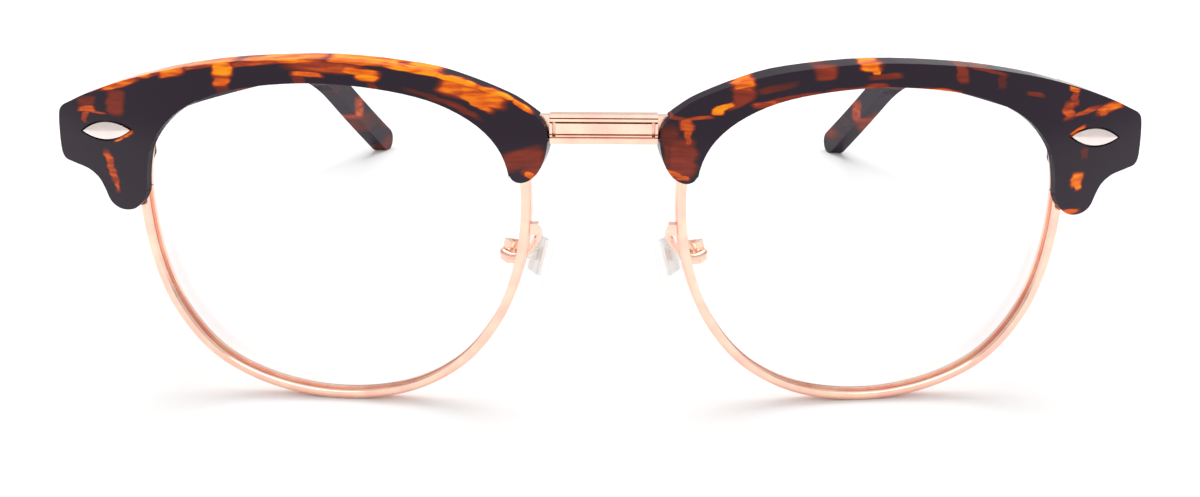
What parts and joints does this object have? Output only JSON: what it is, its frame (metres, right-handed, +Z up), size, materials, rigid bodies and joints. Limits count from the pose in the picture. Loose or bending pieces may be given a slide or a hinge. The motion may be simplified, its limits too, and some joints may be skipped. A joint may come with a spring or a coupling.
{
  "type": "browline glasses",
  "caption": "Browline glasses: tortoiseshell brows over rose-gold wire rims and bridge, clear lenses, nose pads that rock, and tortoiseshell temples that fold.",
  "frame": {"origin": "on the table under the middle of the whole frame, halfway from its front to its temple tips", "axes": "+X to the wearer's left, +Y from the front back to the temple tips, +Z up"},
  "size_m": [0.1438, 0.1417, 0.047],
  "materials": {
    "tortoiseshell_acetate": "polished tortoiseshell acetate, dark brown with amber",
    "rose_gold": "bright rose-gold plate",
    "pale_gold": "pale gold plate, polished",
    "screw_steel": "bright turned steel",
    "core_steel": "drawn wire",
    "clear_lens": "clear, coated against reflections",
    "clear_silicone": "clear moulded silicone"
  },
  "bodies": {
    "front": {"bridge": "rose_gold", "brow_left": "tortoiseshell_acetate", "brow_right": "tortoiseshell_acetate", "rim_left": "rose_gold", "rim_right": "rose_gold", "lens_left": "clear_lens", "lens_right": "clear_lens", "rivet_plaque_left": "pale_gold", "rivet_plaque_right": "pale_gold", "hinge_front_left": "rose_gold", "hinge_front_right": "rose_gold", "hinge_screw_left": "screw_steel", "hinge_screw_right": "screw_steel", "pad_arm_left": "rose_gold", "pad_arm_right": "rose_gold", "pad_box_left": "rose_gold", "pad_box_right": "rose_gold", "pad_screw_left": "screw_steel", "pad_screw_right": "screw_steel", "closing_block_upper_left": "rose_gold", "closing_block_upper_right": "rose_gold", "closing_block_lower_left": "rose_gold", "closing_block_lower_right": "rose_gold", "closing_screw_left": "screw_steel", "closing_screw_right": "screw_steel", "bridge_screw_left": "screw_steel", "bridge_screw_right": "screw_steel", "brow_screw_left": "screw_steel", "brow_screw_right": "screw_steel"},
    "temple_left": {"temple_left": "tortoiseshell_acetate", "hinge_temple_left": "rose_gold", "core_wire_left": "core_steel"},
    "temple_right": {"temple_right": "tortoiseshell_acetate", "hinge_temple_right": "rose_gold", "core_wire_right": "core_steel"},
    "nose_pad_left": {"nose_pad_left": "clear_silicone", "pad_core_left": "core_steel"},
    "nose_pad_right": {"nose_pad_right": "clear_silicone", "pad_core_right": "core_steel"}
  },
  "joints": [
    {"name": "temple_left_fold", "type": "hinge", "parent": "front", "child": "temple_left", "pos_m": [0.06581, -0.05646, 0.03603], "axis": [0, 0, 1], "range_deg": [0, 88]},
    {"name": "temple_right_fold", "type": "hinge", "parent": "front", "child": "temple_right", "pos_m": [-0.06581, -0.05646, 0.03603], "axis": [0, 0, -1], "range_deg": [0, 83]},
    {"name": "nose_pad_left_rock", "type": "hinge", "parent": "front", "child": "nose_pad_left", "pos_m": [0.012, -0.06219, 0.01963], "axis": [0.5, 0.866, 0], "range_deg": [-10, 10]},
    {"name": "nose_pad_right_rock", "type": "hinge", "parent": "front", "child": "nose_pad_right", "pos_m": [-0.012, -0.06219, 0.01963], "axis": [-0.5, 0.866, 0], "range_deg": [-10, 10]}
  ]
}
